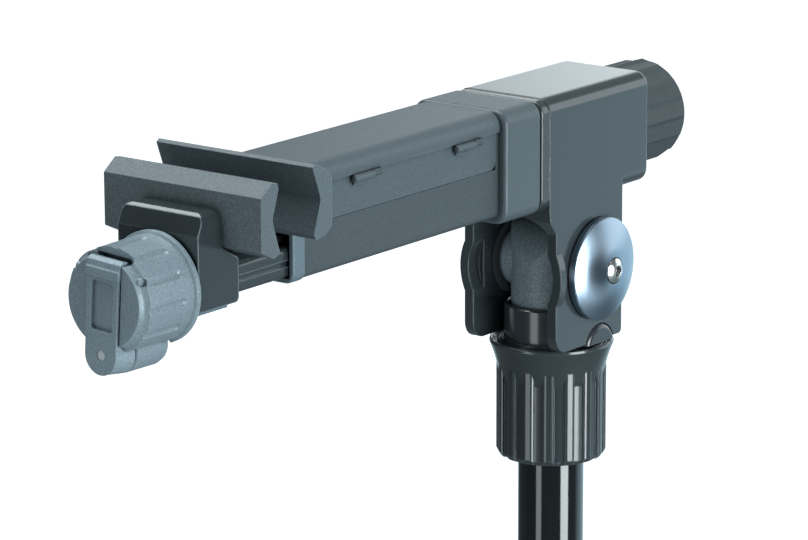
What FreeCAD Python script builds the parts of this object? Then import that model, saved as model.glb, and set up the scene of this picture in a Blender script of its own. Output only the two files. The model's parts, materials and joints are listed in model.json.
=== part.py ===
import FreeCAD, Part
import Sketcher
import math
import os
import re

# Bicycle repair stand: a clamp head on a folding pivot, a telescoping mast and three folding legs.
# Millimetres.  The origin is on the floor, under the middle of the mast.  +Z is up, the clamp arm
# reaches toward -X, and the side of the stand that carries the tool-compartment door is -Y.
# Head parts are drawn about the fold pivot and are lifted to pivot_z by their Placement.
# "near" is the -Y side and "far" the +Y side.

Vector = FreeCAD.Vector
Rotation = FreeCAD.Rotation
UP = Vector(0, 0, 1)
doc = FreeCAD.newDocument("repair_stand")

# Endings: _r radius, _bore inner radius, _half half width in y, _x0 _z0 lower end, _x1 _z1 upper end.
SIZES = [
    # housing, cheeks and pivot
    ("pivot_z", 1250, "height of the fold pivot above the floor, as set"),
    ("house_w", 58.8, "width of the square head section"),
    ("house_x0", -43.3, "front of the housing block"),
    ("house_x1", 45.8, "rear of the housing block"),
    ("house_z0", 37.7, "underside of the housing"),
    ("house_z1", 96.8, "top of the housing"),
    ("edge_r", 7.8, "rounding of the long edges of the head"),
    ("lip_len", 6.5, "front lip of the housing"),
    ("neck_x0", -37.2, "front edge of the two cheeks"),
    ("neck_x1", 22.1, "rear edge of the two cheeks"),
    ("neck_z0", -39.4, "bottom of the cheeks"),
    ("cheek_half", 23.8, "half gap between the cheeks"),
    ("arch_z", 33.0, "top of the gap between the cheeks"),
    ("relief_r", 27.1, "relief in the cheeks for the lock ring"),
    ("bolt_r", 5.0, "pivot bolt"),
    ("dome_r", 27.2, "pivot dome"),
    ("dome_h", 10.45, "pivot dome height with its skirt"),
    ("skirt_h", 3.6, "skirt of the pivot dome"),
    ("spacer_h", 0.8, "plate under each pivot dome"),
    # arm
    ("arm_z", 67.25, "turning axis of the arm above the pivot"),
    ("spindle_r", 18.0, "outside of the arm spindle"),
    ("bush_r", 24.0, "outside of the spindle bushes"),
    ("collar_x0", -81.5, "front of the arm collar"),
    ("collar_x1", -51.8, "rear of the arm collar"),
    ("arm_x0", -238.1, "front of the arm body"),
    ("arm_half", 24.5, "half width of the arm body"),
    ("arm_z0", 41.5, "underside of the arm body"),
    ("seam_z", 86.2, "seam between arm body and cover"),
    ("cover_half", 26.0, "half width of the cover"),
    ("cover_z1", 96.3, "top of the cover"),
    ("hinge_y", 26.6, "door hinge axis, half width"),
    ("door_z0", 67.0, "lower edge of the compartment door"),
    ("cap_x0", -246.7, "front of the arm end cap"),
    # jaws, carriage, knob and crank
    ("jaw_half", 48.0, "half length of a jaw"),
    ("screw_z", 50.5, "lead screw axis above the pivot"),
    ("screw_r", 5.0, "lead screw"),
    ("carriage_x0", -314.9, "front of the jaw carriage"),
    ("carriage_x1", -286.0, "rear of the jaw carriage block"),
    ("carriage_half", 24.4, "half width of the jaw carriage"),
    ("knob_r", 25.4, "jaw knob barrel"),
    ("knob_flange_r", 27.0, "jaw knob flange"),
    ("knob_x0", -353.4, "front face of the jaw knob"),
    ("knob_x1", -315.6, "back of the jaw knob"),
    ("crank_x", -349.6, "crank hinge pin, x"),
    ("crank_dz", 13.0, "crank hinge pin above the screw axis"),
    ("crank_len", 38.45, "crank hinge pin to grip axis"),
    ("grip_r", 11.0, "crank grip"),
    ("tilt_sin", 0.0645, "sine of the angle the jaw knob is turned to, 3.7 degrees"),
    ("tilt_cos", 0.9979, "cosine of the same angle"),
    ("rear_knob_r", 27.4, "rear locking knob"),
    ("rear_knob_len", 37.5, "rear locking knob length"),
    # mast; heights of the mast head, ring and locking collar are from the pivot
    ("tube_r", 17.5, "upper mast tube"),
    ("tube_bore", 15.9, "upper mast tube bore"),
    ("plug_r", 21.5, "mast head"),
    ("plug_z0", -45.0, "shoulder of the mast head on the tube"),
    ("ring_r", 25.2, "lock ring"),
    ("ring_flat", 23.55, "flats of the lock ring between the cheeks, from the axis"),
    ("rim_r", 33.0, "flared rim of the locking collar"),
    ("rim_z", -41.6, "flared rim, below the pivot"),
    ("flare_z", -62.5, "end of the flare"),
    ("lock_r", 27.3, "locking collar grip between the ribs"),
    ("lock_rib_r", 29.1, "locking collar over the ribs"),
    ("lock_z0", -105.8, "bottom of the locking collar"),
    ("upper_z0", 620, "lower end of the upper mast tube"),
    ("low_r", 21.0, "lower mast tube"),
    ("low_bore", 19.3, "lower mast tube bore"),
    ("low_z1", 862, "top of the lower mast tube"),
    ("clamp_z0", 834, "bottom of the height clamp"),
    ("clamp_h", 46, "height clamp"),
    # legs
    ("hub_z", 280, "leg pin height"),
    ("hub_r", 30.0, "leg hub ring"),
    ("leg_pin_x", 46.0, "leg pin, distance from the mast axis"),
    ("leg_r", 11.0, "leg tube"),
    ("leg_len", 475, "leg pin to the end of the leg tube"),
    ("leg_drop", 33.0, "leg angle below the horizontal, degrees"),
]
sheet = doc.addObject("Spreadsheet::Sheet", "Sizes")
for row, (name, value, note) in enumerate(SIZES, 1):
    sheet.set(f"A{row}", note)
    sheet.set(f"B{row}", str(value))
    sheet.setAlias(f"B{row}", name)
doc.recompute()
VALUES = {name: float(sheet.get(name)) for name, _, _ in SIZES}
SHEET_NAME = re.compile(r"[A-Za-z_][A-Za-z_0-9]*")


# ---- Sizes ----------------------------------------------------------------------------------
# A size is a number, or a sum: text with sheet names, numbers, + - * / and brackets.
def num(size):
    """The value of a size."""
    if not isinstance(size, str):
        return float(size)
    tokens = re.findall(r"[A-Za-z_][A-Za-z_0-9]*|[0-9]*\.?[0-9]+|[-+*/()]", size)

    def atom():
        token = tokens.pop(0)
        if token == "(":
            value = total()
            tokens.pop(0)
            return value
        if token == "-":
            return -atom()
        return VALUES[token] if token in VALUES else float(token)

    def product():
        value = atom()
        while tokens and tokens[0] in "*/":
            value = value * atom() if tokens.pop(0) == "*" else value / atom()
        return value

    def total():
        value = product()
        while tokens and tokens[0] in "+-":
            value = value + product() if tokens.pop(0) == "+" else value - product()
        return value

    return total()


def uses_sheet(size):
    return isinstance(size, str) and bool(SHEET_NAME.search(size))


def bind(obj, prop, size):
    """Set a property to a size, and tie it to the sheet when the size names sheet cells."""
    if uses_sheet(size):
        obj.setExpression(prop, SHEET_NAME.sub(lambda found: "Sizes." + found.group(0), size))
    elif prop.startswith("AttachmentOffset.Base."):
        offset = obj.AttachmentOffset
        setattr(offset.Base, prop[-1], num(size))
        obj.AttachmentOffset = offset
    elif not prop.startswith("Constraints."):
        setattr(obj, prop, num(size))


def place(obj, x=0, y=0, z=0, turn=None):
    obj.Placement = FreeCAD.Placement(Vector(num(x), num(y), num(z)), turn or Rotation())
    for axis, size in (("x", x), ("y", y), ("z", z)):
        if uses_sheet(size):
            bind(obj, "Placement.Base." + axis, size)
    return obj


# ---- Profiles: (plane, offset, rise, drawing function, its data) ----------------------------
# offset moves the sketch along the plane's normal, rise along the sketch's own y.
def constrain(sketch, rows):
    """Rows are (kind, elements) or (kind, elements, name, size)."""
    constraints = []
    for kind, elements, *named in rows:
        if named:
            constraint = Sketcher.Constraint(kind, *elements, num(named[1]))
            constraint.Name = named[0]
        else:
            constraint = Sketcher.Constraint(kind, *elements)
        constraints.append(constraint)
    sketch.addConstraint(constraints)
    for _, _, *named in rows:
        if named:
            bind(sketch, "Constraints." + named[0], named[1])


def arc(start, end, radius, side):
    chord = end - start
    half = chord.Length / 2
    left = Vector(-chord.y, chord.x, 0) / chord.Length
    height = math.sqrt(max(radius * radius - half * half, 0))
    centre = (start + end) / 2 - left * (side * height)
    first = math.atan2(start.y - centre.y, start.x - centre.x)
    last = math.atan2(end.y - centre.y, end.x - centre.x)
    # the sketcher's arcs run anticlockwise
    if side > 0:
        first, last = last, first
    if last < first:
        last += 2 * math.pi
    return Part.ArcOfCircle(Part.Circle(centre, UP, radius), first, last)


def draw_polygon(sketch, points):
    count = len(points)
    corners = [Vector(num(point[0]), num(point[1]), 0) for point in points]
    geometry, ends = [], []
    for i, point in enumerate(points):
        start, end = corners[i], corners[(i + 1) % count]
        if len(point) == 2:
            geometry.append(Part.LineSegment(start, end))
            ends.append((1, 2))
        else:
            geometry.append(arc(start, end, num(point[2]), point[3]))
            ends.append((1, 2) if point[3] < 0 else (2, 1))
    sketch.addGeometry(geometry, False)

    rows = []
    for i, point in enumerate(points):
        follow = (i + 1) % count
        rows.append(("Coincident", (i, ends[i][1], follow, ends[follow][0])))
        rows.append(("DistanceX", (-1, 1, i, ends[i][0]), f"x{i}", point[0]))
        rows.append(("DistanceY", (-1, 1, i, ends[i][0]), f"y{i}", point[1]))
        if len(point) == 2:
            continue
        chord = corners[follow] - corners[i]
        if math.hypot(chord.x, chord.y) / 2 > num(point[2]) - 1e-4:
            # a half circle: its middle is held on the chord, and the chord gives the radius
            k = 0 if abs(chord.y) > abs(chord.x) else 1
            middle = f"(({point[k]})+({points[follow][k]}))/2"
            rows.append(("Distance" + "XY"[k], (-1, 1, i, 3), f"m{i}", middle))
        else:
            rows.append(("Radius", (i,), f"r{i}", point[2]))
    constrain(sketch, rows)


def draw_circle(sketch, data):
    x, y, radius = data
    sketch.addGeometry(Part.Circle(Vector(num(x), num(y), 0), UP, num(radius)), False)
    constrain(sketch, [("DistanceX", (-1, 1, 0, 3), "cx", x),
                       ("DistanceY", (-1, 1, 0, 3), "cy", y),
                       ("Radius", (0,), "r", radius)])


def polygon(plane, points, offset=0, rise=0):
    """A closed outline.  A point (x, y) starts a straight side, (x, y, radius, side) an arc
    that bulges to the left (+1) or right (-1) of its direction."""
    return plane, offset, rise, draw_polygon, points


def circle(plane, x, y, radius, offset=0):
    return plane, offset, 0, draw_circle, (x, y, radius)


def rect(plane, x0, x1, y0, y1, offset=0):
    return polygon(plane, [(x0, y0), (x1, y0), (x1, y1), (x0, y1)], offset)


def rounded(plane, x0, x1, y0, y1, radius, offset=0):
    """A rectangle with rounded corners."""
    x0, x1, y0, y1, radius = (f"({size})" for size in (x0, x1, y0, y1, radius))
    return polygon(plane, [
        (x0 + "+" + radius, y0), (x1 + "-" + radius, y0, radius, -1),
        (x1, y0 + "+" + radius), (x1, y1 + "-" + radius, radius, -1),
        (x1 + "-" + radius, y1), (x0 + "+" + radius, y1, radius, -1),
        (x0, y1 + "-" + radius), (x0, y0 + "+" + radius, radius, -1)], offset)


def hexagon(corner_r, offset):
    angles = [math.radians(60 * i) for i in range(6)]
    corners = [(corner_r * math.cos(angle), corner_r * math.sin(angle)) for angle in angles]
    return polygon("XY", corners, offset)


def head_section(offset, inset=0):
    """The square section of the head, drawn smaller all round by inset."""
    return rounded("YZ", f"-house_w/2+{inset}", f"house_w/2-{inset}", f"house_z0+{inset}",
                   f"house_z1-{inset}", f"edge_r-{inset}", offset)


def arm_circle(radius, offset):
    """A circle about the turning axis of the arm."""
    return circle("YZ", 0, "arm_z", radius, offset)


# ---- Edge selectors for fillets -------------------------------------------------------------
def along(axis, tolerance=0.3, **near):
    """Straight edges parallel to an axis, whose middle has the given coordinates."""

    def pick(edge):
        box = edge.BoundBox
        length = {"x": box.XLength, "y": box.YLength, "z": box.ZLength}
        if length.pop(axis) < 0.3 or any(other > 0.01 for other in length.values()):
            return False
        middle = edge.CenterOfMass
        return all(abs(getattr(middle, k) - num(at)) < tolerance for k, at in near.items())

    return pick


def flat(axis, at, test=lambda edge: True):
    """Edges that lie in the plane axis = at and pass the test."""

    def pick(edge):
        low = getattr(edge.BoundBox, axis.upper() + "Min")
        high = getattr(edge.BoundBox, axis.upper() + "Max")
        return abs(low - num(at)) < 0.02 and abs(high - num(at)) < 0.02 and test(edge)

    return pick


# ---- Bodies and plain solids ----------------------------------------------------------------
exported = []  # objects written to STEP, each under its Label
changes = []  # (feature, feature before it, +1 adds / -1 cuts / 0 either)


class Body:
    """A PartDesign body whose features follow one another in the order of the calls.
    The sketch planes face +Z (XY), -Y (XZ) and +X (YZ)."""

    def __init__(self, label, x=0, y=0, z=0, turn=None, export=True):
        self.body = doc.addObject("PartDesign::Body", label)
        self.body.Label = label
        place(self.body, x, y, z, turn)
        self.count = 0
        self.last = None
        if export:
            exported.append(self.body)

    def new(self, kind):
        self.count += 1
        name = f"{self.body.Name}_{kind.split('::')[1]}{self.count}"
        return self.body.newObject(kind, name)

    def origin(self, role):
        return [part for part in self.body.Origin.OriginFeatures if part.Role == role][0]

    def finish(self, feature, sign):
        changes.append((feature, self.last, sign))
        self.last = feature
        self.body.Tip = feature
        return feature

    def sketch(self, profile):
        plane, offset, rise, draw, data = profile
        sketch = self.new("Sketcher::SketchObject")
        sketch.AttachmentSupport = [(self.origin(plane + "_Plane"), "")]
        sketch.MapMode = "FlatFace"
        bind(sketch, "AttachmentOffset.Base.z", offset)
        if rise:
            bind(sketch, "AttachmentOffset.Base.y", rise)
        draw(sketch, data)
        return sketch

    def extrude(self, kind, profile, length, both, reverse, sign):
        sketch = self.sketch(profile)
        feature = self.new(kind)
        feature.Profile = sketch
        bind(feature, "Length", length)
        if both:
            feature.SideType = "Symmetric"
        feature.Reversed = reverse
        return self.finish(feature, sign)

    def pad(self, profile, length, both=False):
        """Add along the plane's normal, or half each way."""
        return self.extrude("PartDesign::Pad", profile, length, both, False, 1)

    def pocket(self, profile, length, both=False, back=False):
        """Cut along the plane's normal, half each way, or back against the normal."""
        reverse = not (both or back)
        return self.extrude("PartDesign::Pocket", profile, length, both, reverse, -1)

    def spin(self, kind, profile, axis, sign):
        """The axis is one of the sketch's own, by name, or a datum line."""
        sketch = self.sketch(profile)
        feature = self.new(kind)
        feature.Profile = sketch
        feature.ReferenceAxis = (sketch, [axis]) if isinstance(axis, str) else (axis, [""])
        feature.Angle = 360
        return self.finish(feature, sign)

    def revolve(self, profile, axis="V_Axis"):
        return self.spin("PartDesign::Revolution", profile, axis, 1)

    def groove(self, profile, axis="V_Axis"):
        return self.spin("PartDesign::Groove", profile, axis, -1)

    def polar(self, original, axis, count):
        feature = self.new("PartDesign::PolarPattern")
        feature.Originals = [original]
        feature.Axis = (self.origin(axis + "_Axis"), [""])
        feature.Angle = 360
        feature.Occurrences = count
        return self.finish(feature, 0)

    def fillet(self, pick, radius):
        doc.recompute()
        names = [f"Edge{i}" for i, edge in enumerate(self.last.Shape.Edges, 1) if pick(edge)]
        if not names:
            raise ValueError("no edges for a fillet of " + self.body.Label)
        feature = self.new("PartDesign::Fillet")
        feature.Base = (self.last, names)
        bind(feature, "Radius", radius)
        return self.finish(feature, 0)


def head_body(label, x=0, y=0, turn=None, export=True):
    """A body drawn about the fold pivot."""
    return Body(label, x, y, "pivot_z", turn, export)


def cylinder(name, radius, height, x, y, z, turn):
    solid = doc.addObject("Part::Cylinder", name)
    bind(solid, "Radius", radius)
    bind(solid, "Height", height)
    return place(solid, x, y, z, turn)


def block(name, length, width, height, x, y, z):
    solid = doc.addObject("Part::Box", name)
    bind(solid, "Length", length)
    bind(solid, "Width", width)
    bind(solid, "Height", height)
    return place(solid, x, y, z)


def export_group(label, shapes):
    compound = doc.addObject("Part::Compound", label)
    compound.Links = shapes
    exported.append(compound)


# Turns that point a body's +Z to one side.
TO_NEAR = Rotation(Vector(1, 0, 0), 90)
TO_FAR = Rotation(Vector(1, 0, 0), -90)
TO_REAR = Rotation(Vector(0, 1, 0), 90)
SIDES = (("near", -1, TO_NEAR), ("far", 1, TO_FAR))
BOLT_HOLE = "bolt_r+0.1"

# ==== HEAD ===================================================================================
# Housing: a square block bored for the arm spindle, on two cheeks that straddle the mast head.
NOTCH_X = 2
housing = head_body("head_housing")
housing.pad(head_section("house_x0"), "house_x1-house_x0")
housing.fillet(flat("x", "house_x1"), 2.2)
housing.pad(head_section("house_x0-lip_len", 0.5), "lip_len+1")
housing.fillet(flat("x", "house_x0-lip_len"), 1.2)
cheek_outline = [
    ("neck_x0", "neck_z0"), ("neck_x1", "neck_z0"), ("neck_x1", 48), (-43.2, 48),
    (-43.2, 38.6), (-42.4, 31.6), ("neck_x0", 24.6)]
housing.pad(polygon("XZ", cheek_outline), "house_w", both=True)
# swelling of the cheeks round the lock-ring relief
swelling = [("neck_x0", 0), ("neck_x0", 32.4), (-32.2, 32.4), (-27.2, 29.2), (-27.2, 0)]
housing.revolve(polygon("XZ", swelling), "H_Axis")
# gap between the cheeks, relief, lower notches, pivot hole and spindle bores
housing.pocket(rect("YZ", "-cheek_half", "cheek_half", -70, "arch_z", -60), 140)
housing.fillet(along("x", z="arch_z"), 12)
housing.pocket(circle("YZ", 0, 0, "relief_r", -60), 60 - 28)
housing.pocket(circle("XZ", NOTCH_X, -43.7, 13.4), 90, both=True)
housing.pocket(circle("XZ", 0, 0, BOLT_HOLE), 90, both=True)
housing.pocket(arm_circle("bush_r+0.05", -60), 60 + 38)
housing.pocket(arm_circle(8, 30), 30)
housing.fillet(along("y", x="neck_x0", z="neck_z0"), 9)
housing.fillet(along("y", x="neck_x1", z="neck_z0"), 2.5)

# Saddles in the lower notches of the cheeks, above the collar rim; the far one is turned round.
for tag, side, turn in (("near", 1, None), ("far", -1, Rotation(UP, 180))):
    saddle = head_body("notch_saddle_" + tag, turn=turn)
    saddle_x = side * NOTCH_X
    saddle_outline = [(saddle_x - 12.95, -40.4), (saddle_x + 12.95, -40.4, 13.36, -1)]
    saddle.pad(polygon("XZ", saddle_outline, 24.3), 6.4)
    saddle.fillet(flat("y", -30.7, lambda edge: edge.BoundBox.ZMax > -39), 3.4)

# Two plastic bushes that carry the arm spindle in the housing.
for tag, bush_x in (("front", -48.5), ("rear", 18.0)):
    bush = head_body("spindle_bush_" + tag, bush_x)
    bush.pad(arm_circle("bush_r-0.02", 0), 18)
    bush.pocket(arm_circle("spindle_r+0.06", -1), 22)

# Pivot domes with the plates under them, one pair each side.
dome_rise = "(dome_h-skirt_h)"
dome_sphere_r = f"((dome_r-0.5)*(dome_r-0.5)+{dome_rise}*{dome_rise})/(2*{dome_rise})"
dome_outline = [
    (0, 0), ("dome_r", 0), ("dome_r", "skirt_h-0.5"),
    ("dome_r-0.5", "skirt_h", dome_sphere_r, -1), (0, "dome_h")]
for tag, side, turn in SIDES:
    plate = head_body("dome_plate_" + tag, 0, f"{side}*house_w/2", turn)
    plate.pad(circle("XY", 0, 0, "dome_r-1.6", 0.05), "spacer_h-0.1")
    plate.pocket(circle("XY", 0, 0, BOLT_HOLE, -1), 10)
    dome = head_body("pivot_dome_" + tag, 0, f"{side}*(house_w/2+spacer_h)", turn)
    dome.revolve(polygon("XZ", dome_outline))
    dome.pocket(circle("XY", 0, 0, BOLT_HOLE, -1), 20)
    dome.pocket(circle("XY", 0, 0, 7.1, 6.65), 10)

# Pivot bolt with a domed hexagon-socket head on the near side, and its nut on the far side.
NUT_SEAT = 36.95
bolt = head_body("pivot_bolt", turn=TO_NEAR)
bolt.pad(circle("XY", 0, 0, "bolt_r", -38.5), 76.0)
bolt.revolve(polygon("XZ", [(0, NUT_SEAT), (6.6, NUT_SEAT), (6.6, 40.4, 9.5, -1), (0, 42.6)]))
bolt.pocket(hexagon(3.2, 39.2), 6)
nut = head_body("pivot_nut", turn=TO_FAR)
nut.pad(hexagon(6.8, NUT_SEAT), 5)
nut.pocket(circle("XY", 0, 0, "bolt_r+0.03", 30), 9)

# ==== MAST ===================================================================================
# Mast head: a plug rounded over the pivot, with a cross boss and a spigot in the upper tube.
plug = head_body("mast_head")
plug.pad(circle("XY", 0, 0, "plug_r", "plug_z0"), "plug_r-plug_z0+2")
over_plug = [
    (-40, 0), ("-plug_r", 0, "plug_r", 1), ("plug_r", 0), (40, 0), (40, 60), (-40, 60)]
plug.pocket(polygon("XZ", over_plug), 90, both=True)
plug.pad(circle("XZ", 0, 0, 16), 43.4, both=True)
plug.pad(circle("XY", 0, 0, "tube_bore-0.05", "plug_z0-42"), 43)
plug.pocket(circle("XZ", 0, 0, BOLT_HOLE), 90, both=True)
plug.pocket(circle("XY", 0, 0, 9, "plug_z0-43"), 34)

# Friction washers between the mast head and the cheeks.
for tag, side, turn in SIDES:
    washer = head_body("friction_washer_" + tag, turn=turn)
    washer.pad(circle("XY", 0, 0, 15.8, 21.75), 1.3)
    washer.pad(circle("XY", 0, 0, 20.6, 23.05), 0.7)
    washer.pocket(circle("XY", 0, 0, BOLT_HOLE, 10), 20)

# Lock ring that rises between the cheeks, with a flat on each side.  Columns: radius, z.
ring = head_body("lock_ring")
ring_outline = [
    ("plug_r+0.3", -58.5), ("ring_r", -58.5), ("ring_r", -44.1), (28.6, -44.1), (28.9, -43.4),
    (28.3, -42.5), (26.4, -42.0), ("ring_r", -41.2), ("ring_r", -22.9), ("ring_r-0.7", -22.2),
    ("ring_r-2.0", -22.2), ("ring_r-2.4", -22.8), ("ring_r-2.4", -35.0), ("plug_r+0.3", -36.0)]
ring.revolve(polygon("XZ", ring_outline))
for side in (-1, 1):
    ring.pocket(rect("YZ", f"{side}*ring_flat", side * 30, -41.9, -10, -20), 40)

# Fluted collar that drives the lock ring.  Columns: radius, z.
collar = head_body("locking_collar", turn=Rotation(UP, 10.4))
collar_outline = [
    (20.2, "lock_z0"), ("lock_r-2.0", "lock_z0"), ("lock_r", "lock_z0+2.4"),
    ("lock_r", "flare_z"), ("lock_r+1.5", -56.4, 70, 1), ("rim_r-0.35", -44.2),
    ("rim_r", -43.2), ("rim_r-0.3", -42.1), ("rim_r-1.0", "rim_z"), ("rim_r-1.9", "rim_z-0.3"),
    ("rim_r-3.0", -43.6), ("rim_r-3.6", -44.2), ("ring_r+0.6", -44.2), ("ring_r+0.6", -59.5),
    (20.2, -59.5)]
collar.revolve(polygon("XZ", collar_outline))
rib_outline = [
    ("lock_r-1.2", -2.95), ("lock_rib_r-0.95", -2.8), ("lock_rib_r-0.3", -2.25),
    ("lock_rib_r", -1.3), ("lock_rib_r", 1.3), ("lock_rib_r-0.3", 2.25),
    ("lock_rib_r-0.95", 2.8), ("lock_r-1.2", 2.95)]
rib = collar.pad(polygon("XY", rib_outline, "lock_z0+0.9"), "-50.5-lock_z0-0.9")
collar.polar(rib, "Z", 16)
collar.groove(polygon("XZ", [  # bevel under the ribs
    ("lock_r-1.0", "lock_z0-1"), ("lock_rib_r+1", "lock_z0-1"),
    ("lock_rib_r+1", "lock_z0+5.4"), ("lock_rib_r", "lock_z0+3.4")]))

# Threaded sleeve on the tube under the mast head; the collar runs on it.
THREAD_PITCH = 4
sleeve = head_body("collar_sleeve")
sleeve.revolve(polygon("XZ", [
    ("tube_r+0.05", -104), (19.2, -104), (19.8, -103), (19.8, -47.5), ("tube_r+0.05", -47.5)]))
for k in range(9):
    thread_z = -100 + THREAD_PITCH * k
    sleeve.groove(polygon("XZ", [(19.0, thread_z), (20.5, thread_z - 1), (20.5, thread_z + 1)]))

# Telescoping tubes, the bush pinned in the upper one, and the foot.
upper = Body("upper_mast")
upper.pad(circle("XY", 0, 0, "tube_r", "upper_z0"), "pivot_z+plug_z0-upper_z0-0.05")
upper.pocket(circle("XY", 0, 0, "tube_bore", "upper_z0-1"), "pivot_z+plug_z0-upper_z0+5")
upper.pocket(circle("XZ", 0, "upper_z0+15", 3.1), 60, both=True)

guide = Body("guide_bush", 0, 0, "upper_z0")
guide.revolve(polygon("XZ", [
    (12, -6), ("low_bore-0.1", -6), ("low_bore-0.1", -0.05), ("tube_bore-0.05", -0.05),
    ("tube_bore-0.05", 30), (12, 30)]))
guide.pad(circle("XZ", 0, 15, 3.0), 34, both=True)

lower = Body("lower_mast")
lower.pad(circle("XY", 0, 0, "low_r", 18), "low_z1-18")
lower.pocket(circle("XY", 0, 0, "low_bore", 10), "low_z1")

foot = Body("mast_foot")
foot.revolve(polygon("XZ", [
    (0, 0), (24, 0), (25.5, 2.5), (25, 14), (23.5, 17.95), ("low_bore-0.05", 17.95),
    ("low_bore-0.05", 48), ("low_bore-2", 50), (0, 50)]))

# ==== HEIGHT CLAMP ===========================================================================
# Split sleeve with two ears toward +X, closed by a cam lever on a cross bolt.
CLAMP_BOLT_X = 36
BARREL_Y = 23.5  # cross barrel of the bolt, toward the near side
BOLT_Z = "clamp_z0+clamp_h/2"
clamp = Body("height_clamp", 0, 0, "clamp_z0")
clamp.pad(circle("XY", 0, 0, 28), "clamp_h")
clamp.pad(rect("XY", 18, 46, -15, 15, 6), "clamp_h-12")
clamp.fillet(along("z", 0.5, x=46), 6)
clamp.fillet(
    flat("z", "clamp_h", lambda edge: abs(edge.CenterOfMass.y) < 12 and edge.Length > 60), 2.0)
clamp.pocket(circle("XY", 0, 0, "low_r+0.05", -1), "low_z1-clamp_z0+2")
clamp.pocket(circle("XY", 0, 0, "tube_r+0.15", -1), "clamp_h+5")
clamp.pocket(rect("XY", 10, 60, -1, 1, -1), "clamp_h+5")
clamp.pocket(circle("XZ", CLAMP_BOLT_X, "clamp_h/2", 3.1), 60, both=True)

clamp_bolt = Body("clamp_bolt", CLAMP_BOLT_X, 0, BOLT_Z, TO_NEAR)
clamp_bolt.pad(circle("XY", 0, 0, 3.0, -20.2), 43.2)
clamp_bolt.pad(circle("XZ", 0, BARREL_Y, 3.4), 17, both=True)

clamp_nut = Body("clamp_nut", CLAMP_BOLT_X, 15.05, BOLT_Z, TO_FAR)
clamp_nut.revolve(polygon("XZ", [
    (3.05, 0), (9, 0), (9, 1.5), (7, 2.0), (7, 5.5), (6.2, 6.3), (3.05, 6.3)]))
scallop = clamp_nut.pocket(circle("XY", 8.2, 0, 1.8, 2.0), 8)
clamp_nut.polar(scallop, "Z", 6)

# Cam lever, hinged on the cross barrel of the bolt; closed it lies along the clamp toward -X.
lever = Body("clamp_lever", CLAMP_BOLT_X, -BARREL_Y, BOLT_Z)
lever.pad(circle("XY", 0, 0, 8.3, -8.4), 16.8)
lever_outline = [
    (0, -8.2), (-14, -10.2, 60, 1), (-50, -13.2), (-62, -11.6), (-63, -8.6),
    (-50, -8.4, 45, -1), (-16, -4.6), (0, 2)]
lever.pad(polygon("XY", lever_outline, -7.0), 14)
lever.pocket(circle("XY", 0, 0, 3.45, -20), 40)
lever.pocket(rect("XY", -3.4, 14, -14, 14, -3.4), 6.8)
lever.pocket(circle("XY", 0, 0, 4.4, -3.4), 6.8)
for face_z in (7.0, -7.0):
    lever.fillet(flat("z", face_z, lambda edge: edge.CenterOfMass.x < -8), 1.2)

# ==== ARM ====================================================================================
# Square collar at the root of the arm, with a square socket in front and a bore behind.
arm_collar = head_body("arm_collar")
arm_collar.pad(head_section("collar_x0"), "collar_x1-collar_x0")
arm_collar.fillet(flat("x", "collar_x0"), 2.2)
arm_collar.fillet(flat("x", "collar_x1"), 0.8)
arm_collar.pocket(rect("YZ", -20.2, 20.2, 45.8, 83.2, "collar_x0-1"), 19)
arm_collar.pocket(arm_circle("spindle_r+0.03", "collar_x1-10"), 14)

friction_ring = head_body("friction_ring")
friction_ring.pad(head_section("collar_x1+0.05", 3), 1.9)
friction_ring.pocket(arm_circle("spindle_r+0.05", "collar_x1-2"), 8)

spindle = head_body("arm_spindle")
spindle.pad(arm_circle("spindle_r", "collar_x1-9.95"), 98.5)
spindle.pocket(arm_circle(12, "collar_x1-12"), 80)
spindle.pocket(arm_circle(5.05, 0), 50)

# Arm body: a shell with the screw tunnel below and the tool compartment above.
arm = head_body("arm_body")
arm.pad(rect("YZ", "-arm_half", "arm_half", "arm_z0", "seam_z", "arm_x0"),
        "collar_x0-arm_x0-0.05")
arm.fillet(along("x", 1, z="arm_z0"), 3.2)
arm.pad(rect("YZ", -20, 20, 46, 83, "collar_x0-1"), 18.5)
arm.pocket(rect("YZ", -22.4, 22.4, 43.3, 62.6, "arm_x0-1"), 144)
arm.pocket(rect("YZ", -21.8, 21.8, "door_z0", 100, "arm_x0+5"), 146)
arm.pocket(rect("YZ", -40, 0, "door_z0", 100, "arm_x0+3.9"), 150.4)

cover = head_body("arm_cover")
cover.pad(rect("YZ", "-cover_half", "cover_half", "seam_z+0.1", "cover_z1", "arm_x0"),
          "collar_x0-arm_x0-0.1")
cover.fillet(along("x", 1, z="cover_z1"), 7.4)
cover.fillet(flat("x", "collar_x0-0.1"), 0.9)
cover.pocket(rect("YZ", -21.8, 21.8, 80, 93.2, "arm_x0+5"), 146)

# Door in the -Y side with two knuckles on the seam.
KNUCKLES = (-202.0, -120.0)  # front end of each knuckle, x
HINGE_Z = "seam_z-2.1"
door = head_body("compartment_door")
door.pad(rect("XZ", "arm_x0+4.3", "collar_x0-2.3", "door_z0+0.25", "seam_z-0.3", "arm_half-2.2"),
         2.15)
door.fillet(along("y", x="collar_x0-2.3", z="door_z0+0.25"), 4.5)
door.fillet(along("y", x="arm_x0+4.3", z="door_z0+0.25"), 1.5)
for knuckle_x in KNUCKLES:
    door.pad(rect("XZ", knuckle_x + 1.8, knuckle_x + 14, 80.5, "seam_z-0.45", "arm_half-1"), 2.2)
    door.pad(circle("YZ", "-hinge_y", HINGE_Z, 2.1, knuckle_x), 14.6)
for knuckle_x in KNUCKLES:
    door.fillet(
        flat("x", knuckle_x, lambda edge: edge.Curve.TypeId == "Part::GeomCircle"), 1.3)
for knuckle_x in KNUCKLES:
    door.pocket(circle("YZ", "-hinge_y", HINGE_Z, 0.72, knuckle_x + 6), 20)
door.pocket(rect("XZ", -160, -145, "door_z0+1.2", "door_z0+3.2", "arm_half-1"), 5, back=True)

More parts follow.
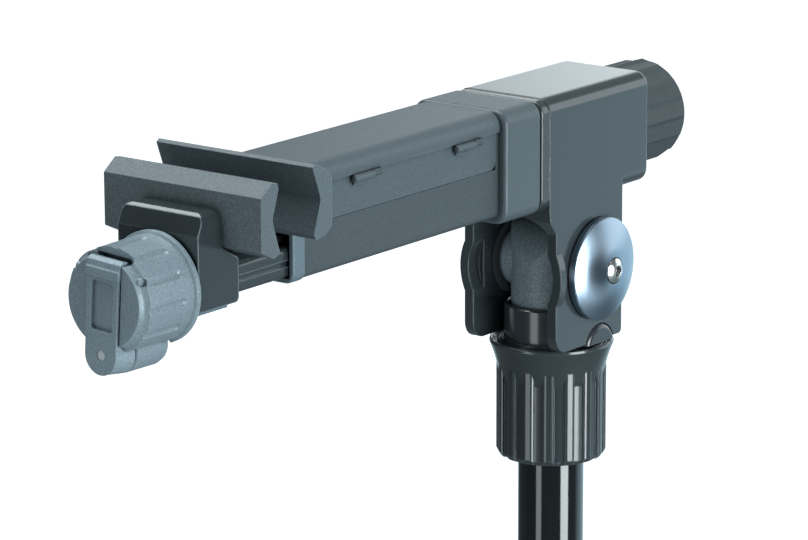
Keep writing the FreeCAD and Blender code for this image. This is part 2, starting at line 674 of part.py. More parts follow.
# Hinge pins, each with the lug that holds it.
hinges = []
for i, knuckle_x in enumerate(KNUCKLES):
    lug_x = knuckle_x + 14.9
    hinge = doc.addObject("Part::MultiFuse", f"door_hinge_lug_{i}")
    hinge.Shapes = [
        cylinder(f"door_pin_{i}", 0.65, 14, knuckle_x + 7.2, "-hinge_y", "pivot_z+" + HINGE_Z,
                 TO_REAR),
        cylinder(f"door_lug_{i}", 1.5, 6.6, lug_x, "-hinge_y", "pivot_z+" + HINGE_Z, TO_REAR),
        block(f"door_lug_root_{i}", 6.6, 2.9, 2.2, lug_x, -27.9, "pivot_z+" + HINGE_Z)]
    hinges.append(hinge)
export_group("door_hinge_pins", hinges)

end_cap = head_body("arm_end_cap")
end_cap.pad(rect("YZ", -25.4, 25.4, 40.4, 95.4, "cap_x0"), "arm_x0-cap_x0-0.05")
end_cap.fillet(along("x", 0.5, z=40.4), 5.5)
end_cap.fillet(along("x", 0.5, z=95.4), 6.5)
end_cap.fillet(flat("x", "cap_x0"), 1.2)
end_cap.pocket(rect("YZ", -40, 40, 66.5, 110, "cap_x0-2"), 3.2)
end_cap.pocket(rect("YZ", -22.9, 22.9, 43.0, 65.4, "cap_x0-2"), 20)

SCREW_HOLE = "screw_r+0.06"
screw_nut = head_body("screw_nut")
screw_nut.pad(rect("YZ", -9.4, 9.4, 43.35, 60, -236), 16)
screw_nut.pocket(circle("YZ", 0, "screw_z", SCREW_HOLE, -240), 30)

# ==== JAWS AND CARRIAGE ======================================================================
# Grooved pads, pulled together by the screw: outline (x, z), then rounded corners (x, z, radius).
JAWS = {
    "rear_jaw": (
        [(-245.5, 72.5), (-245.5, 96.6), (-250.2, 100.8), (-257.4, 104.4), (-259.5, 103.0),
         (-253.5, 87.0), (-258.9, 70.6), (-257.4, 68.0), (-250.8, 69.0)],
        [(-257.4, 104.4, 1.0), (-257.4, 68.0, 1.0), (-253.5, 87.0, 6.0)]),
    "front_jaw": (
        [(-297.6, 69.4), (-288.2, 65.0), (-284.2, 67.2), (-289.6, 83.6), (-284.8, 97.6),
         (-285.8, 100.6), (-289.4, 101.2), (-297.6, 95.2)],
        [(-289.6, 83.6, 6.0), (-284.2, 67.2, 1.0), (-284.8, 97.6, 1.6)]),
}
for label, (outline, corners) in JAWS.items():
    jaw = head_body(label)
    jaw.pad(polygon("XZ", outline), "2*jaw_half", both=True)
    for x, z, radius in corners:
        jaw.fillet(along("y", x=x, z=z), radius)

# Carriage with rounded upper sides, bored for the screw and slotted for the two rails.
RAIL_Y = 16.0
carriage = head_body("jaw_carriage")
carriage_outline = [
    ("carriage_x0", 40.8), ("carriage_x1", 40.8), ("carriage_x1", 61.8), (-287.2, 62.6),
    (-297.65, 68.6), (-297.65, 86.9), (-309.6, 86.9), (-311.2, 85.6), ("carriage_x0", 77.0)]
carriage.pad(polygon("XZ", carriage_outline), "2*carriage_half", both=True)
for side in (-1, 1):
    inner = f"{side}*(carriage_half-5)"
    outer = f"{side}*(carriage_half+3)"
    corner = [(inner, 86.9, 5, side), (f"{side}*carriage_half", 81.9), (outer, 81.9),
              (outer, 92), (inner, 92)]
    carriage.pocket(polygon("YZ", corner, -325), 40)
carriage.pocket(circle("YZ", 0, "screw_z", SCREW_HOLE, -320), 60)
for y in (-RAIL_Y, RAIL_Y):
    carriage.pocket(rect("YZ", y - 6.05, y + 6.05, 43.45, 58.55, -306), 40)
carriage.fillet(along("y", x="carriage_x1", z=40.8), 2.5)
carriage.fillet(along("y", x="carriage_x1", z=61.8), 2.0)

# Rails, each with a groove along its outer side.
rails = []
for tag, side in (("a", -1), ("b", 1)):
    y = side * RAIL_Y
    groove_y = y + side * 6.0
    rail = head_body("rail_" + tag, export=False)
    rail.pad(rect("YZ", y - 6.0, y + 6.0, 43.5, 58.5, -305.9), 156)
    rail.fillet(along("x"), 2.6)
    rail.pocket(rect("YZ", groove_y - 1.0, groove_y + 1.0, 49.4, 52.2, -310), 170)
    rails.append(rail.body)
export_group("slide_rails", rails)

exported.append(block("carriage_plate", 22, "2*carriage_half-6", 2.2,
                      -313, "-carriage_half+3", "pivot_z+38.55"))

# ==== KNOB, CRANK, GRIP ======================================================================
SCREW_Z = "pivot_z+screw_z"
KNOB_TURN = Rotation(Vector(1, 0, 0), math.degrees(math.asin(VALUES["tilt_sin"])))
GRIP_DROP = "(crank_len-crank_dz)"  # grip axis below the screw axis, before the turn
AT_HINGE = ("crank_x", "-crank_dz*tilt_sin", SCREW_Z + "+crank_dz*tilt_cos", KNOB_TURN)
AT_GRIP = ("crank_x", GRIP_DROP + "*tilt_sin", SCREW_Z + "-" + GRIP_DROP + "*tilt_cos", KNOB_TURN)

knob = Body("jaw_knob", 0, 0, SCREW_Z, KNOB_TURN)
knob_outline = [
    ("knob_x1", 0), ("knob_x1", "knob_flange_r-0.6"), ("knob_x1-0.6", "knob_flange_r"),
    ("knob_x1-3.0", "knob_flange_r"), ("knob_x1-4.2", "knob_r+0.1"),
    ("knob_x0+4.4", "knob_r-0.4", 5.2, 1), ("knob_x0", 21.6), ("knob_x0", 0)]
knob.revolve(polygon("XZ", knob_outline), "H_Axis")
# long scoops with round ends, twelve round the barrel; each is turned about its own axis
scoop_r = 3.2
scoop_x0, scoop_x1 = "knob_x0+4.6", "knob_x1-11.6"
scoop_outline = [
    (f"{scoop_x0}-{scoop_r}", 0), (f"{scoop_x1}+{scoop_r}", 0, scoop_r, 1),
    (scoop_x1, -scoop_r), (scoop_x0, -scoop_r, scoop_r, 1)]
scoop = knob.groove(polygon("XZ", scoop_outline, rise="knob_r+2.2"), "H_Axis")
knob.polar(scoop, "X", 12)
# slot for the crank, closed above by a rim with a round-ended opening, and the scoop for the grip
knob.pocket(rect("YZ", -10.3, 10.3, -40, 21.3, "knob_x0-2"), 14.8)
knob.pocket(rect("YZ", -10.3, 10.3, 19, 40, "knob_x0-2"), 8.9)
knob.pocket(rounded("XY", -352.6, -346.5, -13.4, 13.4, 3.0, 19), 20)
knob.pocket(circle("YZ", 0, "-" + GRIP_DROP, "grip_r+0.6", "knob_x0-2"), 50)
knob.pocket(circle("XZ", "crank_x", "crank_dz", 2.05), 60, both=True)
knob.pocket(circle("YZ", 0, 0, "screw_r+0.03", -334), 30)

hinge_pin = Body("crank_hinge_pin", *AT_HINGE)
hinge_pin.pad(circle("XZ", 0, 0, 2.0), 38.4, both=True)

screw = Body("lead_screw", 0, 0, SCREW_Z)
screw.pad(circle("YZ", 0, 0, "screw_r", -333.95), 190)

# Crank lever: hinged at the top in the knob slot, ridge below the knuckle, framed hollow,
# round lower end.
crank = Body("crank_lever", *AT_HINGE)
crank_front = [
    (-9.5, -2), (-9.4, "-crank_len", 9.4, -1), (9.4, "-crank_len"), (9.5, -2), (9.9, 0),
    (9.9, 9.6), (-9.9, 9.6), (-9.9, 0)]
crank.pad(polygon("YZ", crank_front, -5.6), 12.5)
boss = [(-5.0, 0), (-5.0, 9.2), (6.9, 10.8), (6.9, 0)]
crank.revolve(polygon("XZ", boss, rise="-crank_len"), "H_Axis")
# what is cut away beyond the side profile, (x, z)
crank_side = [
    (-12, -60), (-5, -60), (-5, -1.6), (-5.6, -1.0), (-5.6, 3.0), (-4.9, 3.8), (-4.3, 6.4),
    (-2.6, 7.8, 9.2, 1), (5.0, 4.0), (6.95, 2.0), (6.95, 14), (-12, 14)]
crank.pocket(polygon("XZ", crank_side), 40, both=True)
crank.pocket(rect("YZ", -20, 20, "-crank_len+11.4", -8.5, 4.0), 10)
crank.pocket(rounded("YZ", -6.7, 6.7, "-crank_len+11.8", -2.9, 2.2, -9), 6.2)
crank.pocket(circle("YZ", 0, "-crank_len", 2.55, -10), 30)
crank.pocket(circle("XZ", 0, 0, 2.06), 60, both=True)

rivet = Body("grip_rivet", *AT_GRIP)
rivet.pad(circle("YZ", 0, 0, 2.5, -4.2), 34.8)
rivet.pad(circle("YZ", 0, 0, 4.2, 30.4), 1.6)

grip = Body("crank_grip", *AT_GRIP)
grip.revolve(polygon("XZ", [
    (8.0, 0), (8.0, "grip_r-0.9"), (8.9, "grip_r"), (27.6, "grip_r+0.25"),
    (30.4, "grip_r-0.5"), (31.9, "grip_r-2.2"), (32.4, "grip_r-4.2"), (32.4, 0)]), "H_Axis")
grip.pocket(circle("YZ", 0, 0, 2.62, 0), 40)
grip.pocket(circle("YZ", 0, 0, 4.4, 30.2), 5)

# ==== REAR LOCKING KNOB ======================================================================
ARM_AXIS_Z = "pivot_z+arm_z"
rear_washer = Body("rear_washer", 0, 0, ARM_AXIS_Z)
rear_washer.pad(circle("YZ", 0, 0, 19, "house_x1+0.05"), 1.9)
rear_washer.pocket(circle("YZ", 0, 0, 5.1, 40), 20)

# sixteen flats, each with a small step to the next
TEETH = 16
teeth = []
for k in range(TEETH):
    pitch_angle = 360 / TEETH * k
    for angle, step in ((pitch_angle, 0), (pitch_angle + 5.2, 1.3)):
        tooth_r = VALUES["rear_knob_r"] - step
        angle = math.radians(angle)
        teeth.append((-tooth_r * math.sin(angle), tooth_r * math.cos(angle)))
rear_knob = Body("rear_lock_knob", "house_x1+2.05", 0, ARM_AXIS_Z)
rear_knob.pad(polygon("YZ", teeth), "rear_knob_len")
rear_knob.groove(polygon("XZ", [
    (-1, "rear_knob_r-1.4"), (1.4, "rear_knob_r+0.4"), (1.4, "rear_knob_r+4"),
    (-1, "rear_knob_r+4")]), "H_Axis")
rear_knob.groove(polygon("XZ", [
    ("rear_knob_len-3.4", "rear_knob_r+0.2"), ("rear_knob_len-0.8", "rear_knob_r-1.2"),
    ("rear_knob_len+1", "rear_knob_r-4.4"), ("rear_knob_len+1", "rear_knob_r+4"),
    ("rear_knob_len-3.4", "rear_knob_r+4")]), "H_Axis")
rear_knob.pocket(circle("YZ", 0, 0, 12, "rear_knob_len-2"), 5)
rear_knob.pocket(circle("YZ", 0, 0, 5.03, -1), 22)

stud = Body("rear_stud", 0, 0, ARM_AXIS_Z)
stud.pad(circle("YZ", 0, 0, 5.0, 6), 62)

# ==== LEGS ===================================================================================
# Hub: a flanged ring with three forked ears for the leg pins.
hub = Body("leg_hub", 0, 0, "hub_z")
hub.pad(circle("XY", 0, 0, "hub_r", -20), 40)
hub.pad(circle("XY", 0, 0, "hub_r+4", -22), 4)
ear = hub.pad(rect("XY", 22, "leg_pin_x+10", -13, 13, -16), 32)
hub.polar(ear, "Z", 3)
hub.pocket(circle("XY", 0, 0, "low_r+0.05", -40), 80)
fork = hub.pocket(rect("XY", "hub_r+3.2", 80, -8.2, 8.2, -40), 80)
hub.polar(fork, "Z", 3)
pin_hole = hub.pocket(circle("XZ", "leg_pin_x", 0, 3.1), 40, both=True)
hub.polar(pin_hole, "Z", 3)

LEGS = (("a", 0), ("b", 120), ("c", 240))  # tag, direction in degrees from +X
PIN_LEN = 30
leg_pins = []
for i, (tag, direction) in enumerate(LEGS):
    cosine, sine = math.cos(math.radians(direction)), math.sin(math.radians(direction))
    leg_pins.append(cylinder(
        f"leg_pin_{i}", 3.0, PIN_LEN,
        VALUES["leg_pin_x"] * cosine + PIN_LEN / 2 * sine,
        VALUES["leg_pin_x"] * sine - PIN_LEN / 2 * cosine,
        "hub_z", Rotation(UP, direction).multiply(TO_FAR)))
export_group("leg_pins", leg_pins)

DROP_COS = math.cos(math.radians(VALUES["leg_drop"]))
DROP_SIN = math.sin(math.radians(VALUES["leg_drop"]))
LEG_END_Z = VALUES["hub_z"] - VALUES["leg_len"] * DROP_SIN


def by_leg(reach, radius):
    """A point in the boot's XZ plane: reach past the leg end, radius square to the leg."""
    return (reach * DROP_COS + radius * DROP_SIN,
            LEG_END_Z - reach * DROP_SIN + radius * DROP_COS)


def make_leg(tag, direction):
    turn = Rotation(UP, direction)
    tilt = turn.multiply(Rotation(Vector(0, 1, 0), VALUES["leg_drop"]))
    cosine = f"{math.cos(math.radians(direction)):.9f}"
    sine = f"{math.sin(math.radians(direction)):.9f}"
    at_pin = (f"leg_pin_x*{cosine}", f"leg_pin_x*{sine}", "hub_z", tilt)

    # cast knuckle on the hub pin, drawn along +X from the pin
    knuckle = Body("leg_knuckle_" + tag, *at_pin)
    knuckle.pad(polygon("XZ", [(0, -9, 9, 1), (0, 9), (24, 11), (24, -11)]), 16.0, both=True)
    knuckle.pad(circle("YZ", 0, 0, 13.5, 22), 40)
    knuckle.fillet(flat("x", 62.0), 1.2)
    knuckle.pocket(circle("YZ", 0, 0, "leg_r+0.05", 30), 60)
    knuckle.pocket(circle("XZ", 0, 0, 3.06), 40, both=True)

    tube = Body("leg_tube_" + tag, *at_pin)
    tube.pad(circle("YZ", 0, 0, "leg_r", 30.05), "leg_len-30")
    tube.pocket(circle("YZ", 0, 0, "leg_r-1.4", 20), "leg_len")

    # rubber boot with a flat pad on the floor and a sleeve along the leg
    foot_reach = f"(leg_pin_x+leg_len*{DROP_COS:.9f})"
    boot = Body("leg_boot_" + tag, f"{foot_reach}*{cosine}", f"{foot_reach}*{sine}", 0, turn)
    boot.revolve(polygon("XZ", [
        (0, 0), (20, 0), (21, 1.5), (20.5, 6), (18.5, 9, 20, 1), (12, 26), (0, 30)]))
    axis = boot.new("PartDesign::Line")
    axis.Placement = FreeCAD.Placement(
        Vector(0, 0, LEG_END_Z), Rotation(UP, Vector(DROP_COS, 0, -DROP_SIN)))
    sleeve_outline = [(-70, 0), (-70, 13.6), (6, 14.2), (14, 11), (14, 0)]
    bore_outline = [(-90, 0), (-90, 11.06), (0.1, 11.06), (0.1, 0)]
    boot.revolve(polygon("XZ", [by_leg(*point) for point in sleeve_outline]), axis)
    boot.groove(polygon("XZ", [by_leg(*point) for point in bore_outline]), axis)


for tag, direction in LEGS:
    make_leg(tag, direction)

# ==== CHECK AND WRITE ========================================================================
doc.recompute()
bad = [f"{obj.Name}: {obj.State}" for obj in doc.Objects
       if any(word in obj.State for word in ("Invalid", "Error"))]
for feature, before, sign in changes:
    if feature.Shape.isNull():
        bad.append(feature.Name + " is empty")
    elif before is not None and sign:
        change = (feature.Shape.Volume - before.Shape.Volume) * sign
        if change <= 1e-3:
            bad.append(f"{feature.Name} changes nothing ({change:.4f})")
for obj in exported:
    if obj.Shape.isNull() or not obj.Shape.isValid() or obj.Shape.Volume <= 0:
        bad.append(obj.Label + " is not a valid solid")
if bad:
    raise RuntimeError("\n".join(bad))
os.makedirs("parts", exist_ok=True)
for obj in exported:
    obj.Shape.exportStep(f"parts/{obj.Label}.step")
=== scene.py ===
"""Finishes, floor, light and camera for a folding stand with a jaw clamp and crank.

The stand rises along +Z from the floor at z = 0. The camera looks down at it from the
-X -Y side; beyond it, toward +X, the sky is bright and a patch of the floor glows, both
hidden from the camera.
"""
import json
import math

import bpy
from mathutils import Matrix, Vector

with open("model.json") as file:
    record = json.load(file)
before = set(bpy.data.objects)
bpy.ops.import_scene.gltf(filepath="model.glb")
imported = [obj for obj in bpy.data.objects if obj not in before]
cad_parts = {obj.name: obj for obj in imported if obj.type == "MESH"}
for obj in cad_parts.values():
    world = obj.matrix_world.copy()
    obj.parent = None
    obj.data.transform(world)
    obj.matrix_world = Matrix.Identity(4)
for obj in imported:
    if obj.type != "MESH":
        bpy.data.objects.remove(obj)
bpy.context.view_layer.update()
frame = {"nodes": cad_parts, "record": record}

MM = 0.001
PIVOT_Z = 1.25  # height of the fold pivot


# ---------------------------------------------------------------- shader graphs
class ShaderGraph:
    """The emptied node tree of a material or world, with short ways to add nodes."""

    def __init__(self, owner):
        owner.use_nodes = True
        self.tree = owner.node_tree
        self.tree.nodes.clear()

    def add(self, kind, inputs=None, **settings):
        """Add a node; each input is either a socket to link or a plain value."""
        node = self.tree.nodes.new("ShaderNode" + kind)
        for key, value in settings.items():
            setattr(node, key, value)
        for key, value in (inputs or {}).items():
            if isinstance(value, bpy.types.NodeSocket):
                self.tree.links.new(value, node.inputs[key])
            else:
                node.inputs[key].default_value = value
        return node

    def remap(self, value, from_range, to_range, **settings):
        inputs = {
            "Value": value,
            "From Min": from_range[0],
            "From Max": from_range[1],
            "To Min": to_range[0],
            "To Max": to_range[1],
        }
        return self.add("MapRange", inputs, **settings).outputs[0]

    def ramp(self, value, from_range, to_range):
        """A remap that eases in and out."""
        return self.remap(value, from_range, to_range, interpolation_type="SMOOTHSTEP")

    def math(self, operation, first, second):
        return self.add("Math", {0: first, 1: second}, operation=operation).outputs[0]

    def dot(self, first, second):
        node = self.add("VectorMath", {0: first, 1: second}, operation="DOT_PRODUCT")
        return node.outputs["Value"]

    def scale(self, vector, factor):
        node = self.add("VectorMath", {0: vector, "Scale": factor}, operation="SCALE")
        return node.outputs[0]

    def mix_colour(self, factor, first, second):
        inputs = {"Factor": factor, "A": first, "B": second}
        return self.add("Mix", inputs, data_type="RGBA").outputs["Result"]

    def noise(self, place, scale, detail, roughness=0.5):
        inputs = {"Vector": place, "Scale": scale, "Detail": detail, "Roughness": roughness}
        return self.add("TexNoise", inputs).outputs["Fac"]


# ---------------------------------------------------------------- finishes
VARY_SCALE = 14.0       # noise scale of the broad colour and sheen variation
SCRATCH_SCALE = 260.0   # noise scale of the rougher patches
ROUGH_VARY = 0.10       # share by which roughness wanders either way
CREVICE_REACH = 3.2     # mm, how far seams and corners look for neighbours when their painted shade is found
BUMP_DEPTH = 0.12       # mm, height of the bump at full grain


def opaque(colour):
    return (*colour, 1.0)


def edge_wear_and_highlight(graph, rounded, broad, edge):
    """Patchy mask of the edges, where the rounded normal leaves the true one; it lays on
    the lighter edge colour, part wear and part painted highlight.
    """
    true_normal = graph.add("NewGeometry").outputs["Normal"]
    edges = graph.remap(
        graph.dot(rounded, true_normal), from_range=(0.995, 0.80), to_range=(0.0, edge)
    )
    patches = graph.remap(broad, from_range=(0.35, 0.65), to_range=(0.45, 1.0))
    return graph.math("MULTIPLY", edges, patches)


def finish_colour(graph, base, vary, broad, fine, grain):
    """The base colour with broad variation and, where there is any, grain."""
    dark = tuple(c * (1 - vary) for c in base)
    light = tuple(c * (1 + vary) for c in base)
    colour = graph.mix_colour(broad, opaque(dark), opaque(light))
    if grain:
        speckle = graph.remap(
            fine,
            from_range=(0.35, 0.65),
            to_range=(1 - 0.35 * grain, 1 + 0.45 * grain),
        )
        colour = graph.scale(colour, speckle)
    return colour


def finish_roughness(graph, place, broad, rough, scratches):
    """Uneven sheen, with rougher patches on top."""
    spread = ROUGH_VARY * rough
    sheen = graph.remap(
        broad, from_range=(0.0, 1.0), to_range=(rough - spread, rough + spread)
    )
    scuffs = graph.remap(
        graph.noise(place, scale=SCRATCH_SCALE, detail=5),
        from_range=(0.5, 0.75),
        to_range=(0.0, scratches * 0.4),
    )
    return graph.math("ADD", sheen, scuffs)


def finish(name, base, rough, metal=0.0, grain=0.0, grain_scale=900.0, micro=0.0, vary=0.10,
           coat=0.0, coat_rough=0.08, edge=0.35, edge_radius=0.5, edge_colour=None,
           specular=0.5, scratches=0.15, crevice_shade=0.85, spun_axis=None, spun_amount=0.0):
    """A procedural finish with rounded edges, lightened partly by wear and partly by
    painted highlight.

    grain is the strength of the speckle and bump, micro that of a bump alone; edge is the
    strength of the lighter edges, part wear and part painted highlight, and edge_radius
    their width in mm; crevice is the strength of the painted shade in seams and corners.
    """
    material = bpy.data.materials.new(name)
    graph = ShaderGraph(material)
    place = graph.add("TexCoord").outputs["Object"]
    broad = graph.noise(place, scale=VARY_SCALE, detail=4)
    fine = graph.noise(place, scale=grain_scale, detail=2, roughness=0.6)
    rounded = graph.add("Bevel", {"Radius": edge_radius * MM}, samples=4).outputs[0]

    # lighter edge colour: part wear, part painted highlight along the edges
    worn_and_lit_edge = edge_colour or tuple(min(1.0, c * 2.2 + 0.05) for c in base)
    colour = graph.mix_colour(
        edge_wear_and_highlight(graph, rounded, broad, edge),
        finish_colour(graph, base, vary, broad, fine, grain),
        opaque(worn_and_lit_edge),
    )

    # painted shade in seams and corners, with a little dust: colour and specular darken
    # where neighbours are close
    openness = graph.add("AmbientOcclusion", {"Distance": CREVICE_REACH * MM}, samples=3)
    shade = graph.remap(
        openness.outputs["AO"], from_range=(0.15, 0.80), to_range=(1 - crevice_shade, 1.0)
    )

    bump = graph.add("Bump", {
        "Strength": 0.9,
        "Distance": max(grain, micro, 0.02) * BUMP_DEPTH * MM,
        "Normal": rounded,
        "Height": fine,
    })
    inputs = {
        "Base Color": graph.scale(colour, shade),
        "Specular IOR Level": graph.math("MULTIPLY", shade, specular),
        "Roughness": finish_roughness(graph, place, broad, rough, scratches),
        "Normal": bump.outputs[0],
        "Metallic": metal,
        "Coat Weight": coat,
        "Coat Roughness": coat_rough,
    }
    if coat:
        inputs["Coat Normal"] = rounded
    if spun_axis:
        # turned finish: the sheen fans out from the axis
        tangent = graph.add("Tangent", direction_type="RADIAL", axis=spun_axis)
        inputs["Anisotropic"] = spun_amount
        inputs["Tangent"] = tangent.outputs[0]
    surface = graph.add("BsdfPrincipled", inputs)
    graph.add("OutputMaterial", {"Surface": surface.outputs[0]})
    return material


TINT = (0.76, 0.97, 1.10)  # the blacks and greys of the stand are cool


def grey(depth, cool=1.0):
    """A cool grey; cool below 1 brings it closer to neutral."""
    return tuple(depth * (1 + cool * (c - 1)) for c in TINT)


# edge_colour is the lighter colour laid on the edges, part wear and part painted highlight
FINISHES = {
    "paint_black": dict(
        base=grey(0.046), rough=0.20, coat=0.65, coat_rough=0.05, edge=0.5, edge_radius=0.9,
        edge_colour=grey(0.34), micro=0.015, specular=0.6, scratches=0.06),
    "paint_gloss": dict(
        base=grey(0.034, cool=1.1), rough=0.2, coat=0.7, coat_rough=0.05, edge=0.8,
        edge_radius=1.1, edge_colour=grey(0.60), micro=0.015, specular=0.6, scratches=0.05),
    "slate_shell": dict(
        base=grey(0.100), rough=0.36, grain=0.5, grain_scale=1500, edge=0.55,
        edge_radius=0.7, edge_colour=grey(0.42)),
    "dark_shell": dict(
        base=grey(0.070), rough=0.42, grain=0.5, grain_scale=1400, edge=0.45,
        edge_colour=grey(0.3)),
    "knurl_grey": dict(
        base=grey(0.050), rough=0.50, grain=0.5, grain_scale=1300, edge=0.5,
        edge_radius=0.6, edge_colour=grey(0.22)),
    "cap_grey": dict(
        base=grey(0.17, cool=1.3), rough=0.38, grain=0.3, edge=0.4, edge_colour=grey(0.45)),
    "knob_grey": dict(
        base=grey(0.27), rough=0.36, grain=0.7, grain_scale=1700, edge=0.6,
        edge_colour=grey(0.80), metal=0.12),
    "crank_grey": dict(
        base=grey(0.29), rough=0.36, grain=0.7, grain_scale=1700, edge=0.8,
        edge_radius=0.45, edge_colour=grey(0.85), metal=0.10),
    "jaw_rubber": dict(
        base=grey(0.115), rough=0.48, grain=0.9, grain_scale=1500, edge=0.6,
        edge_radius=0.6, edge_colour=grey(0.50)),
    "dome_chrome": dict(
        base=(0.37, 0.47, 0.58), rough=0.25, metal=1.0, micro=0.02, edge=0.5, vary=0.05,
        scratches=0.03, edge_colour=(0.75, 0.83, 0.9), spun_axis="Y", spun_amount=0.75),
    "rivet_zinc": dict(
        base=(0.72, 0.76, 0.78), rough=0.35, metal=0.3, micro=0.05, edge=0.3, crevice_shade=0.3),
    "bolt_steel": dict(
        base=(0.80, 0.80, 0.78), rough=0.22, metal=1.0, micro=0.05, edge=0.2),
    "tube_black": dict(
        base=grey(0.010), rough=0.10, coat=0.5, coat_rough=0.04, edge=0.25, micro=0.02,
        scratches=0.04, edge_colour=grey(0.2)),
    "collar_plastic": dict(
        base=grey(0.040), rough=0.24, coat=0.55, coat_rough=0.07, edge=0.8,
        edge_radius=0.45, edge_colour=grey(0.50), micro=0.015, scratches=0.05),
    "head_plastic": dict(
        base=grey(0.24), rough=0.42, grain=0.9, grain_scale=1100, edge=0.4,
        edge_colour=grey(0.3)),
    "bush_plastic": dict(base=grey(0.12, cool=0.5), rough=0.5, grain=0.3),
    "foot_rubber": dict(base=grey(0.028, cool=0.6), rough=0.75, grain=0.7, grain_scale=700),
    "cast_black": dict(
        base=grey(0.032), rough=0.42, grain=0.5, grain_scale=800, edge=0.35,
        edge_colour=grey(0.2)),
    "lever_grey": dict(
        base=(0.42, 0.43, 0.45), rough=0.3, metal=1.0, micro=0.05, edge=0.3),
}

# pieces whose finish differs from the one in the record
FINISH_OVERRIDES = {
    "grip_rivet": "rivet_zinc",
    "jaw_carriage": "paint_gloss",
    "slide_rails": "paint_gloss",
    "rear_lock_knob": "knurl_grey",
    "crank_lever": "crank_grey",
    "crank_hinge_pin": "crank_grey",
    "dome_plate_near": "collar_plastic",
    "dome_plate_far": "collar_plastic",
}


def dress_pieces():
    """Give every piece its one finish and smooth shading."""
    materials = {name: finish(name, **look) for name, look in FINISHES.items()}
    slots = {part["node"]: part["material_slot"] for part in frame["record"]["subparts"]}
    slots.update(FINISH_OVERRIDES)
    for name, piece in frame["nodes"].items():
        piece.data.materials.clear()
        piece.data.materials.append(materials[slots[name]])
        for polygon in piece.data.polygons:
            polygon.use_smooth = True
            polygon.material_index = 0


dress_pieces()


# ---------------------------------------------------------------- floor
FLOOR_HALF = 60
GLOW_AZIMUTH = 10              # degrees from +X toward +Y, middle of the glowing floor
GLOW_COSINES = (0.47, 0.79)    # cosine off that direction where the glow starts, is full
GLOW_DISTANCES = (1.6, 3.6)    # distance from the origin where it starts, is full
GLOW_STRENGTH = 0.85


def heading(azimuth):
    """Level unit vector; azimuth in degrees from +X toward +Y."""
    angle = math.radians(azimuth)
    return (math.cos(angle), math.sin(angle), 0.0)


def floor_material():
    """Pale to the camera; to other rays dim, with a patch far behind the stand that glows
    for them alone, lighting the stand and showing in its reflections.
    """
    material = bpy.data.materials.new("floor_pale")
    graph = ShaderGraph(material)
    place = graph.add("NewGeometry").outputs["Position"]
    away = graph.add("VectorMath", {0: place}, operation="NORMALIZE").outputs[0]
    distance = graph.add("VectorMath", {0: place}, operation="LENGTH").outputs["Value"]
    # a floor patch far behind the stand glows for all but camera rays, lighting the stand
    # and showing in its reflections
    side = graph.ramp(
        graph.dot(away, heading(GLOW_AZIMUTH)), from_range=GLOW_COSINES, to_range=(0.0, 1.0)
    )
    reach = graph.ramp(distance, from_range=GLOW_DISTANCES, to_range=(0.0, GLOW_STRENGTH))
    reflected = graph.add("BsdfPrincipled", {
        "Base Color": (0.16, 0.18, 0.19, 1),
        "Roughness": 1.0,
        "Specular IOR Level": 0.0,
        "Emission Color": (0.62, 0.88, 1.0, 1),
        "Emission Strength": graph.math("MULTIPLY", side, reach),
    })
    seen = graph.add("BsdfPrincipled", {
        "Base Color": (0.80, 0.81, 0.82, 1),
        "Roughness": 0.9,
        "Specular IOR Level": 0.1,
        "Emission Color": (1, 1, 1, 1),
        "Emission Strength": 0.80,
    })
    mix = graph.add("MixShader", {
        0: graph.add("LightPath").outputs["Is Camera Ray"],
        1: reflected.outputs[0],
        2: seen.outputs[0],
    })
    graph.add("OutputMaterial", {"Surface": mix.outputs[0]})
    return material


def build_floor():
    mesh = bpy.data.meshes.new("floor")
    corners = [(x * FLOOR_HALF, y * FLOOR_HALF, 0)
               for x, y in ((-1, -1), (1, -1), (1, 1), (-1, 1))]
    mesh.from_pydata(corners, [], [(0, 1, 2, 3)])
    floor = bpy.data.objects.new("floor", mesh)
    bpy.context.scene.collection.objects.link(floor)
    mesh.materials.append(floor_material())


build_floor()


# ---------------------------------------------------------------- world
PAPER_AZIMUTH = -4             # degrees from +X toward +Y, middle of the paper
PAPER_COSINES = (0.68, 0.79)   # cosine off that direction where it starts, is full
PAPER_STRENGTH = 1.5
PAPER_TOP = (0.42, 0.50)       # upward part of the direction where the paper ends
ABOVE_PAPER = 0.06             # share of the paper's light left above its top
OVERHEAD = (0.75, 0.95)        # upward part where the overhead light starts, is full
OVERHEAD_STRENGTH = 0.9
AMBIENT_STRENGTH = 0.09
SEEN_STRENGTH = 1.2            # plain backdrop, for camera rays only


def build_world():
    """White paper behind the stand and soft light above it; the camera's side is dim."""
    world = bpy.data.worlds.new("studio")
    bpy.context.scene.world = world
    graph = ShaderGraph(world)
    direction = graph.add("TexCoord").outputs["Generated"]
    upward = graph.add("SeparateXYZ", {0: direction}).outputs[2]
    paper = graph.ramp(
        graph.dot(direction, heading(PAPER_AZIMUTH)),
        from_range=PAPER_COSINES,
        to_range=(0.0, PAPER_STRENGTH),
    )
    cutoff = graph.ramp(upward, from_range=PAPER_TOP, to_range=(1.0, ABOVE_PAPER))
    overhead = graph.ramp(upward, from_range=OVERHEAD, to_range=(0.0, OVERHEAD_STRENGTH))
    light = graph.math("ADD", graph.math("MULTIPLY", paper, cutoff), overhead)
    strength = graph.add("Mix", {
        "Factor": graph.add("LightPath").outputs["Is Camera Ray"],
        "A": graph.math("ADD", light, AMBIENT_STRENGTH),
        "B": SEEN_STRENGTH,
    }, data_type="FLOAT")
    background = graph.add("Background", {
        "Color": (0.86, 0.965, 1.0, 1),
        "Strength": strength.outputs[0],
    })
    graph.add("OutputWorld", {"Surface": background.outputs[0]})


build_world()


# ---------------------------------------------------------------- lights
LIGHT_COLOUR = (0.90, 0.98, 1.0)


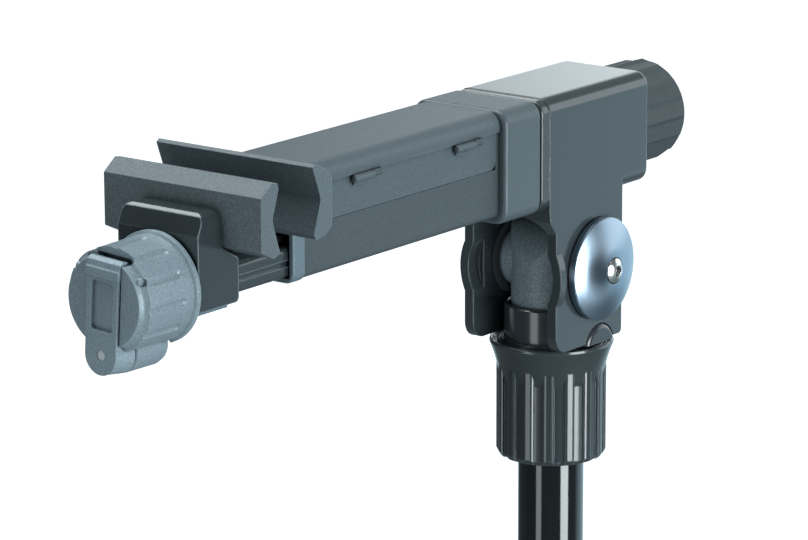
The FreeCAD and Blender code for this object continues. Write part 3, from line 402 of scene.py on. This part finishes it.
def area_light(name, location, aim_z, width, height, power):
    """A rectangular light aimed at the Z axis at height aim_z."""
    data = bpy.data.lights.new(name, "AREA")
    data.shape = "RECTANGLE"
    data.size = width
    data.size_y = height
    data.energy = power
    data.color = LIGHT_COLOUR
    light = bpy.data.objects.new(name, data)
    light.location = location
    aim = Vector((0, 0, aim_z)) - Vector(location)
    light.rotation_euler = aim.to_track_quat("-Z", "Y").to_euler()
    bpy.context.scene.collection.objects.link(light)
    return light


def round_stand(azimuth, distance, z):
    """A place round the Z axis; azimuth in degrees from +X toward +Y."""
    x, y, _ = heading(azimuth)
    return (distance * x, distance * y, z)


# left and right are as the camera sees them
area_light("right_box", round_stand(azimuth=-95, distance=3.0, z=1.15),
           aim_z=1.15, width=1.5, height=2.2, power=105)
area_light("left_box", round_stand(azimuth=-187, distance=3.0, z=1.15),
           aim_z=1.15, width=1.0, height=2.2, power=20)
low_fill = area_light("low_fill", round_stand(azimuth=200, distance=1.5, z=0.6),
                      aim_z=1.17, width=0.8, height=0.8, power=3)
low_fill.visible_glossy = False
area_light("top_box", (-0.1, 0.9, 3.3), aim_z=1.3, width=2.0, height=2.0, power=58)


# ---------------------------------------------------------------- camera
CAMERA_PLACE = (-1.72441, -1.22697, PIVOT_Z + 0.52821)
CAMERA_TURN = math.radians(-52.46)     # heading of the image's right side, from +X
CAMERA_RAISE = math.radians(14.16)     # how far the camera looks down
CAMERA_ROLL = math.radians(0.20)


def build_camera():
    data = bpy.data.cameras.new("camera")
    data.sensor_width = 36
    data.lens = 184.63
    data.clip_end = 200
    camera = bpy.data.objects.new("camera", data)

    turn_cos, turn_sin = math.cos(CAMERA_TURN), math.sin(CAMERA_TURN)
    raise_cos, raise_sin = math.cos(CAMERA_RAISE), math.sin(CAMERA_RAISE)
    roll_cos, roll_sin = math.cos(CAMERA_ROLL), math.sin(CAMERA_ROLL)
    right = Vector((turn_cos, turn_sin, 0))
    back = Vector((turn_sin * raise_cos, -turn_cos * raise_cos, raise_sin))
    up = back.cross(right)
    rolled_right = roll_cos * right - roll_sin * up
    rolled_up = roll_sin * right + roll_cos * up
    pose = Matrix((rolled_right, rolled_up, back)).transposed().to_4x4()
    pose.translation = Vector(CAMERA_PLACE)
    camera.matrix_world = pose

    scene = bpy.context.scene
    scene.collection.objects.link(camera)
    scene.camera = camera
    scene.view_settings.view_transform = "Standard"


build_camera()
